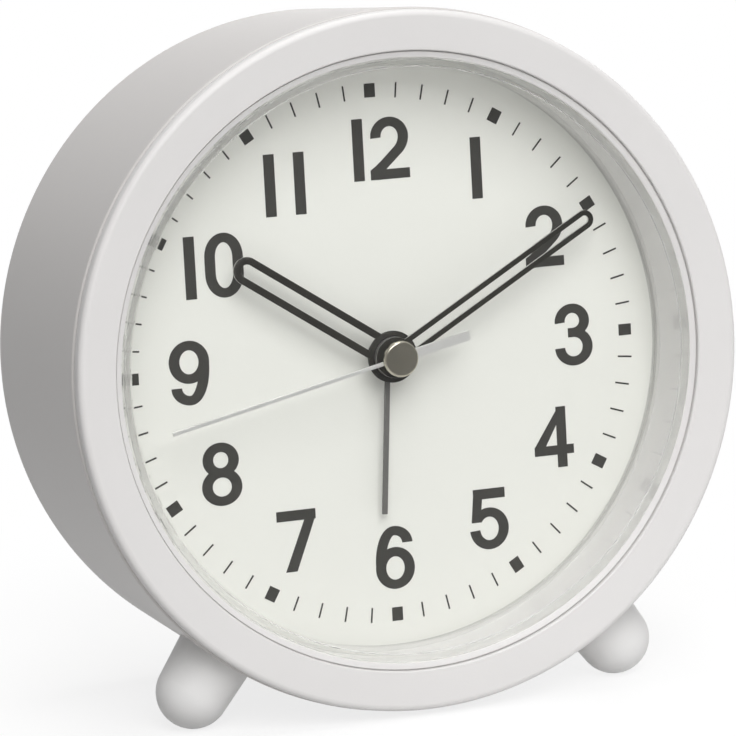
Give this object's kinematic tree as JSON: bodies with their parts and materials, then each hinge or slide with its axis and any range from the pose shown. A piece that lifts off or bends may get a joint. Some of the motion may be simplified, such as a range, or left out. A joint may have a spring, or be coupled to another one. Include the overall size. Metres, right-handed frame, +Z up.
{
  "type": "alarm clock",
  "caption": "Round analogue alarm clock: a pale drum with a recessed lens, slotted hands and rear controls, leaning back slightly on round-ended feet.",
  "frame": {"origin": "on the floor under the middle of the clock", "axes": "+Z up, +X to the right of a person who reads the dial, +Y from the dial to the rear cover; the dial leans back by a few degrees"},
  "size_m": [0.1006, 0.052, 0.101],
  "materials": {
    "case_plastic": "smooth satin",
    "ring_plastic": "smooth satin",
    "foot_plastic": "smooth satin",
    "clear_plastic": "clear and polished",
    "dial_card": "printed matt",
    "plate_plastic": "moulded",
    "cover_plastic": "fine texture",
    "dark_paint": "matt paint",
    "grey_paint": "matt paint",
    "bare_aluminium": "brushed",
    "cap_metal": "dark plated",
    "housing_plastic": "moulded",
    "wheel_plastic": "natural",
    "pinion_plastic": "natural",
    "steel": "turned",
    "magnet": "ground",
    "iron": "stamped",
    "copper": "enamelled wire",
    "bobbin_plastic": "moulded",
    "board": "laminate",
    "resin": "glossy",
    "knob_plastic": "fluted",
    "switch_plastic": "moulded",
    "sheet_brass": "rolled",
    "nickel": "plated",
    "ceramic": "fired",
    "cell_wrap": "printed sleeve"
  },
  "bodies": {
    "case": {"bezel": "ring_plastic", "lens": "clear_plastic", "dial": "dial_card", "dial_plate": "plate_plastic", "case_drum": "case_plastic", "left_foot": "foot_plastic", "right_foot": "foot_plastic", "rear_cover": "cover_plastic", "cover_screws": "steel", "battery_cell": "cell_wrap", "positive_contact": "nickel", "negative_contact": "nickel", "movement_front_housing": "housing_plastic", "movement_rear_housing": "housing_plastic", "housing_screws": "steel", "mount_screws": "steel", "stator": "iron", "coil_core": "iron", "coil_bobbin": "bobbin_plastic", "coil_winding": "copper", "circuit_board": "board", "chip_cover": "resin", "quartz_can": "nickel", "switch_guide": "housing_plastic", "switch_contacts": "sheet_brass", "buzzer_ring": "housing_plastic", "buzzer_disc": "sheet_brass", "buzzer_crystal": "ceramic"},
    "minute_work": {"minute_hand": "dark_paint", "cannon_pinion": "steel", "centre_wheel": "wheel_plastic", "clutch_spring": "nickel"},
    "hour_work": {"hour_hand": "dark_paint", "hour_wheel": "wheel_plastic"},
    "second_work": {"second_hand": "bare_aluminium", "hand_cap": "cap_metal", "second_arbor": "steel", "second_wheel": "wheel_plastic"},
    "motion_work": {"motion_wheel": "pinion_plastic"},
    "time_setting": {"time_set_shaft": "wheel_plastic", "time_knob": "knob_plastic"},
    "third_work": {"third_wheel": "wheel_plastic"},
    "step_work": {"step_wheel": "pinion_plastic"},
    "rotor_work": {"rotor": "pinion_plastic", "rotor_magnet": "magnet"},
    "alarm_setting": {"alarm_set_shaft": "wheel_plastic", "alarm_knob": "knob_plastic"},
    "alarm_work": {"alarm_hand": "grey_paint", "alarm_wheel": "wheel_plastic"},
    "alarm_switch": {"alarm_switch_slider": "switch_plastic"},
    "battery_lid": {"battery_door": "cover_plastic"}
  },
  "joints": [
    {"name": "minute_hand_turn", "type": "hinge", "parent": "case", "child": "minute_work", "pos_m": [0, -0.00628, 0.05007], "axis": [0, -0.9989, 0.0469], "continuous": true},
    {"name": "hour_hand_turn", "type": "hinge", "parent": "case", "child": "hour_work", "pos_m": [0, -0.00628, 0.05007], "axis": [0, -0.9989, 0.0469], "continuous": true},
    {"name": "second_hand_turn", "type": "hinge", "parent": "case", "child": "second_work", "pos_m": [0, -0.00628, 0.05007], "axis": [0, -0.9989, 0.0469], "continuous": true},
    {"name": "motion_wheel_turn", "type": "hinge", "parent": "case", "child": "motion_work", "pos_m": [0.00601, -0.00639, 0.04788], "axis": [0, -0.9989, 0.0469], "continuous": true},
    {"name": "time_knob_turn", "type": "hinge", "parent": "case", "child": "time_setting", "pos_m": [0.01278, -0.0065, 0.04542], "axis": [0, -0.9989, 0.0469], "continuous": true},
    {"name": "third_wheel_turn", "type": "hinge", "parent": "case", "child": "third_work", "pos_m": [-0.00465, -0.0066, 0.04344], "axis": [0, -0.9989, 0.0469], "continuous": true},
    {"name": "step_wheel_turn", "type": "hinge", "parent": "case", "child": "step_work", "pos_m": [0.00212, -0.00591, 0.05797], "axis": [0, -0.9989, 0.0469], "continuous": true},
    {"name": "rotor_turn", "type": "hinge", "parent": "case", "child": "rotor_work", "pos_m": [0.00527, -0.00566, 0.06342], "axis": [0, -0.9989, 0.0469], "continuous": true},
    {"name": "alarm_knob_turn", "type": "hinge", "parent": "case", "child": "alarm_setting", "pos_m": [-0.00865, -0.00614, 0.05321], "axis": [0, -0.9989, 0.0469], "continuous": true},
    {"name": "alarm_hand_turn", "type": "hinge", "parent": "case", "child": "alarm_work", "pos_m": [0, -0.00628, 0.05007], "axis": [0, -0.9989, 0.0469], "continuous": true},
    {"name": "alarm_switch_slide", "type": "slide", "parent": "case", "child": "alarm_switch", "axis": [0, 0.0469, 0.9989], "range_m": [0, 0.004]},
    {"name": "battery_door_swing", "type": "hinge", "parent": "case", "child": "battery_lid", "pos_m": [0, 0.017, 0.01513], "axis": [-1, 0, 0], "range_deg": [0, 80]}
  ],
  "couplings": [
    {"joint": "hour_hand_turn", "follows": "minute_hand_turn", "ratio": 0.083333},
    {"joint": "second_hand_turn", "follows": "minute_hand_turn", "ratio": 60},
    {"joint": "motion_wheel_turn", "follows": "minute_hand_turn", "ratio": -0.33333},
    {"joint": "time_knob_turn", "follows": "minute_hand_turn", "ratio": 0.66667},
    {"joint": "third_wheel_turn", "follows": "minute_hand_turn", "ratio": -8},
    {"joint": "step_wheel_turn", "follows": "minute_hand_turn", "ratio": -360},
    {"joint": "rotor_turn", "follows": "minute_hand_turn", "ratio": 1800},
    {"joint": "alarm_hand_turn", "follows": "alarm_knob_turn", "ratio": -0.91667}
  ]
}
